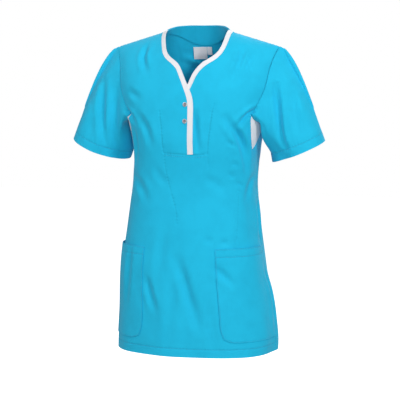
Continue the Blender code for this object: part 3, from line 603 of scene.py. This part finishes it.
def wovenCloth(name, colour, darker, roughness, sheen, threads, weaveDepth, mottle, seamShade):
    # warp and weft read from the piece's own map, with a soft unevenness of the dye and a painted shade
    # along the seams
    material, tree, shader = newMaterial(name, colour, roughness, **{
        "Sheen Weight": sheen, "Sheen Roughness": .45, "Specular IOR Level": .22})
    link = tree.links.new
    clothMap = addNode(tree, "ShaderNodeUVMap", uv_map="cloth")
    texCoord = addNode(tree, "ShaderNodeTexCoord")
    cloud = addNode(tree, "ShaderNodeTexNoise", Scale=34.0, Detail=4.0, Roughness=.55)
    link(texCoord.outputs["Object"], cloud.inputs["Vector"])
    tone = addNode(tree, "ShaderNodeMix", data_type="RGBA")
    tone.inputs["A"].default_value = (*colour, 1.0)
    tone.inputs["B"].default_value = (*darker, 1.0)
    spread = addNode(tree, "ShaderNodeMapRange")
    spread.inputs["From Min"].default_value = .42
    spread.inputs["From Max"].default_value = .72
    spread.inputs["To Max"].default_value = mottle
    link(cloud.outputs["Fac"], spread.inputs["Value"])
    link(spread.outputs["Result"], tone.inputs["Factor"])
    # painted shade: the seam attribute darkens the colour towards a deep tone of the dye along the sewn
    # lines
    paintedShadeMask = addNode(tree, "ShaderNodeAttribute", attribute_name="seam")
    paintedShadeAmount = addNode(tree, "ShaderNodeMath", operation="MULTIPLY")
    paintedShadeAmount.inputs[1].default_value = seamShade
    link(paintedShadeMask.outputs["Fac"], paintedShadeAmount.inputs[0])
    sewn = addNode(tree, "ShaderNodeMix", data_type="RGBA")
    sewn.inputs["B"].default_value = (*[.45 * c for c in darker], 1.0)
    link(paintedShadeAmount.outputs["Value"], sewn.inputs["Factor"])
    link(tone.outputs["Result"], sewn.inputs["A"])
    link(sewn.outputs["Result"], shader.inputs["Base Color"])
    weave = []
    for direction in ("X", "Y"):
        wave = addNode(tree, "ShaderNodeTexWave", Scale=threads, Distortion=.6, Detail=1.0,
                       bands_direction=direction)
        link(clothMap.outputs["UV"], wave.inputs["Vector"])
        weave.append(wave)
    both = addNode(tree, "ShaderNodeMath", operation="ADD")
    link(weave[0].outputs["Fac"], both.inputs[0])
    link(weave[1].outputs["Fac"], both.inputs[1])
    fineBump = addNode(tree, "ShaderNodeBump", Strength=weaveDepth, Distance=.0002)
    link(both.outputs["Value"], fineBump.inputs["Height"])
    rumple = addNode(tree, "ShaderNodeTexNoise", Scale=120.0, Detail=3.0, Roughness=.5)
    link(texCoord.outputs["Object"], rumple.inputs["Vector"])
    softBump = addNode(tree, "ShaderNodeBump", Strength=.10, Distance=.0012)
    link(rumple.outputs["Fac"], softBump.inputs["Height"])
    link(fineBump.outputs["Normal"], softBump.inputs["Normal"])
    link(softBump.outputs["Normal"], shader.inputs["Normal"])
    return material


turquoise = {"colour": (.0100, .500, .770), "darker": (.0075, .445, .700),
             "roughness": .82, "sheen": .12, "threads": 260.0, "weaveDepth": .35,
             "mottle": .55, "seamShade": .40}
whiteCloth = {"colour": (.80, .80, .83), "darker": (.72, .73, .77),
              "roughness": .78, "sheen": .10, "threads": 300.0, "weaveDepth": .30,
              "mottle": .5, "seamShade": .25}
labelCloth = {"colour": (.92, .92, .94), "darker": (.86, .86, .89),
              "roughness": .55, "sheen": .05, "threads": 420.0, "weaveDepth": .45,
              "mottle": .5, "seamShade": .2}
turquoiseCloth = wovenCloth("turquoise poplin", **turquoise)
whiteCotton = wovenCloth("white poplin", **whiteCloth)
labelSatin = wovenCloth("blank label satin", **labelCloth)
blueThread = newMaterial("turquoise thread", (.016, .400, .660), .6, **{"Sheen Weight": .2})[0]
snapRim = newMaterial("snap rim", (.50, .52, .55), .42, **{"Metallic": .55})[0]
snapHeart = newMaterial("snap centre", (.24, .22, .24), .48, **{"Metallic": .35})[0]
print("materials made")

# finished cloth pieces: a wall on each skin, a map for the weave, a sewn look

# for each cloth piece: flat width and length and one-side area as cut, wall, cloth, what carries it
clothPieces = {
    "front": {"flat": (.470, .745), "area": .281, "wall": .0013, "cloth": turquoiseCloth,
              "carriedBy": []},
    "back": {"flat": (.470, .750), "area": .297, "wall": .0013, "cloth": turquoiseCloth,
             "carriedBy": []},
    "sleeve_right": {"flat": (.360, .210), "area": .055, "wall": .0013, "cloth": turquoiseCloth,
                     "carriedBy": ["front"]},
    "sleeve_left": {"flat": (.360, .210), "area": .055, "wall": .0013, "cloth": turquoiseCloth,
                    "carriedBy": ["front"]},
    "insert_right": {"flat": (.125, .045), "area": .0033, "wall": .0013, "cloth": whiteCotton,
                     "carriedBy": ["front"]},
    "insert_left": {"flat": (.125, .045), "area": .0033, "wall": .0013, "cloth": whiteCotton,
                    "carriedBy": ["front"]},
    "pocket_right": {"flat": (.170, .215), "area": .0305, "wall": .0013, "cloth": turquoiseCloth,
                     "carriedBy": ["front"]},
    "pocket_left": {"flat": (.170, .215), "area": .0310, "wall": .0013, "cloth": turquoiseCloth,
                    "carriedBy": ["front"]},
    "back_neck_facing": {"flat": (.195, .060), "area": .0063, "wall": .0010,
                         "cloth": turquoiseCloth, "carriedBy": ["back"]},
    "binding_right": {"flat": (.320, .012), "area": .0036, "wall": .0018, "cloth": whiteCotton,
                      "carriedBy": ["front"]},
    "binding_left": {"flat": (.300, .012), "area": .0032, "wall": .0018, "cloth": whiteCotton,
                     "carriedBy": ["front"]},
    "label": {"flat": (.031, .029), "area": .00089, "wall": .0008, "cloth": labelSatin,
              "carriedBy": ["back_neck_facing"]},
    "label_tab": {"flat": (.0115, .018), "area": .0002, "wall": .0008, "cloth": labelSatin,
                  "carriedBy": ["back_neck_facing"]}}
sharpFrom = math.radians(58)


def mapCloth(mesh, name):
    # across the cloth and along it, in metres
    spots = places(mesh)
    x, y, z = spots.T
    if name.startswith("sleeve"):
        u, v = np.arctan2(y, z + .12 + (np.abs(x) - .2) * 1.2) * .075, np.abs(x) * .8 - z * .6
    elif name.startswith(("front", "back", "pocket", "insert")):
        u, v = np.arctan2(x * .62, np.abs(y) + .02) * .20, z
    else:
        u, v = x, z
    layer = mesh.uv_layers.new(name="cloth")
    corners = np.empty(len(mesh.loops), dtype=np.int64)
    mesh.loops.foreach_get("vertex_index", corners)
    layer.data.foreach_set("uv", np.stack([u[corners], v[corners]], axis=1).reshape(-1))


for name in clothNames:
    mesh = skins[name]
    mesh.name = "cloth_" + name
    body = bpy.data.objects.new("cloth_" + name, mesh)
    bpy.context.scene.collection.objects.link(body)
    wall = body.modifiers.new("wall", "SOLIDIFY")
    wall.thickness = clothPieces[name]["wall"]
    wall.offset = -1.0
    asSeen = body.evaluated_get(bpy.context.evaluated_depsgraph_get())
    solid = bpy.data.meshes.new_from_object(asSeen)
    body.modifiers.clear()
    body.data = solid
    mapCloth(solid, name)
    solid.shade_smooth()
    solid.set_sharp_from_angle(angle=sharpFrom)
    solid.materials.clear()
    solid.materials.append(clothPieces[name]["cloth"])
    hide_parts(name)
    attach(body, "root")
print("cloth pieces made")

# stitches, laid in the sewn lines

def layStitches(name):
    rows = [row for row in sewnLines if row[0] == name and row[4]]
    if not rows:
        return None
    tree = treeOf([name])
    bm = bmesh.new()
    for piece, path, turns, depth, stitched, wide, pucker in rows:
        spots = evenly(path, sewing["pitch"])
        for i in range(len(spots) - 1):
            middle = Vector((spots[i] + spots[i + 1]) / 2)
            way = Vector(spots[i + 1] - spots[i])
            if way.length < 1e-5:      # a doubled point has no direction
                continue
            spot, turn, face, far = tree.find_nearest(middle)
            way = (way - way.dot(turn) * turn).normalized()
            turned = Matrix((way, turn.cross(way), turn)).transposed().to_4x4()
            size = Matrix.Diagonal((sewing["stitch"] / 2, sewing["thread"] * 1.15,
                                    sewing["thread"], 1.0))
            place = Matrix.Translation(spot + turn * sewing["thread"] * sewing["proud"])
            bmesh.ops.create_icosphere(bm, subdivisions=1, radius=1.0,
                                       matrix=place @ turned @ size)
    mesh = bpy.data.meshes.new("stitches_" + name)
    bm.to_mesh(mesh)
    bm.free()
    mesh.shade_smooth()
    mesh.materials.append(blueThread)
    body = bpy.data.objects.new("stitches_" + name, mesh)
    bpy.context.scene.collection.objects.link(body)
    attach(body, "root")
    return body


stitches = {name: layStitches(name) for name in clothNames}
print("stitched pieces:", [name for name in clothNames if stitches[name]])

# the two snaps keep their solids' form

snap = {"heart": .0034}      # radius of the darker middle
for name in ("snap_top", "snap_bottom"):
    mesh = nodes[name].data
    mesh.materials.clear()
    mesh.materials.append(snapRim)
    mesh.materials.append(snapHeart)
    spots = places(mesh)
    middle = (spots.min(0) + spots.max(0)) / 2
    for face in mesh.polygons:
        spot = np.array(face.center) - middle
        if spot[1] < 0 and math.hypot(spot[0], spot[2]) < snap["heart"]:
            face.material_index = 1

# stage, light and camera

stage = {"floorLow": -1.30, "wide": 9.0, "floorGlow": .80, "worldStrength": .33}
bm = bmesh.new()
bmesh.ops.create_grid(bm, x_segments=1, y_segments=1, size=stage["wide"],
                      matrix=Matrix.Translation((0, 0, stage["floorLow"])))
floorMesh = bpy.data.meshes.new("pale floor")
bm.to_mesh(floorMesh)
bm.free()
floor = bpy.data.objects.new("paleFloor", floorMesh)
bpy.context.scene.collection.objects.link(floor)
floorMesh.materials.append(newMaterial("pale floor", (.93, .93, .93), .9, **{
    "Emission Color": (1, 1, 1, 1), "Emission Strength": stage["floorGlow"]})[0])
floor.visible_diffuse = floor.visible_glossy = False     # the floor throws no light on the cloth

world = bpy.data.worlds.new("studio")
bpy.context.scene.world = world
world.use_nodes = True
sky = world.node_tree
thrown = sky.nodes["Background"]      # what lights the cloth
thrown.inputs["Color"].default_value = (1, 1, 1, 1)
thrown.inputs["Strength"].default_value = stage["worldStrength"]
seen = addNode(sky, "ShaderNodeBackground", Color=(1, 1, 1, 1), Strength=1.0)     # plain white behind
rays = addNode(sky, "ShaderNodeLightPath")
mixed = addNode(sky, "ShaderNodeMixShader")
sky.links.new(rays.outputs["Is Camera Ray"], mixed.inputs[0])
sky.links.new(thrown.outputs[0], mixed.inputs[1])
sky.links.new(seen.outputs[0], mixed.inputs[2])
sky.links.new(mixed.outputs[0], sky.nodes["World Output"].inputs["Surface"])


def placeLamp(name, light, place, aim):
    lamp = bpy.data.objects.new(name, light)
    bpy.context.scene.collection.objects.link(lamp)
    lamp.location = place
    lamp.rotation_euler = (Vector(aim) - Vector(place)).to_track_quat("-Z", "Y").to_euler()
    return lamp


def softbox(name, place, aim, size, power):
    light = bpy.data.lights.new(name, "AREA")
    light.shape = "RECTANGLE"
    light.size, light.size_y = size
    light.energy = power
    lamp = placeLamp(name, light, place, aim)
    lamp.visible_camera = False
    return lamp


studio = [softbox("keySoftbox", (2.7, -2.1, 1.9), (0, 0, -.35), (.8, .8), 72),
          softbox("leftSoftbox", (-2.2, -2.1, 2.4), (0, 0, -.30), (.8, .8), 48),
          softbox("frontSoftbox", (1.3, -3.4, -.1), (0, 0, -.3), (.7, .7), 38),
          softbox("backSoftbox", (.4, 2.6, 1.8), (0, 0, -.3), (1.4, 1.2), 60)]
spot = bpy.data.lights.new("neckSpot", "SPOT")        # a little light into the neck
spot.energy, spot.spot_size = 18, math.radians(6.5)
spot.spot_blend, spot.shadow_soft_size = 1.0, .25
neckSpot = placeLamp("neckSpot", spot, (.35, -2.4, .55), (.005, .07, -.05))

view = {"azimuth": 16.0, "elevation": 6.0, "far": 3.2, "lens": 128.0, "sensor": 36.0,
        "height": -.378, "aside": .0056}
azimuth, elevation = math.radians(view["azimuth"]), math.radians(view["elevation"])
rightWay = Vector((math.cos(azimuth), math.sin(azimuth), 0))
forward = Vector((-math.sin(azimuth) * math.cos(elevation),
                  math.cos(azimuth) * math.cos(elevation), -math.sin(elevation)))
target = Vector((0, 0, view["height"])) + rightWay * view["aside"]
camera = bpy.data.objects.new("camera", bpy.data.cameras.new("camera"))
bpy.context.scene.collection.objects.link(camera)
camera.data.lens = view["lens"]
camera.data.sensor_width = view["sensor"]
camera.location = target - forward * view["far"]
camera.rotation_euler = forward.to_track_quat("-Z", "Y").to_euler()
bpy.context.scene.camera = camera
bpy.context.scene.view_settings.view_transform = "Standard"

print("stage set")
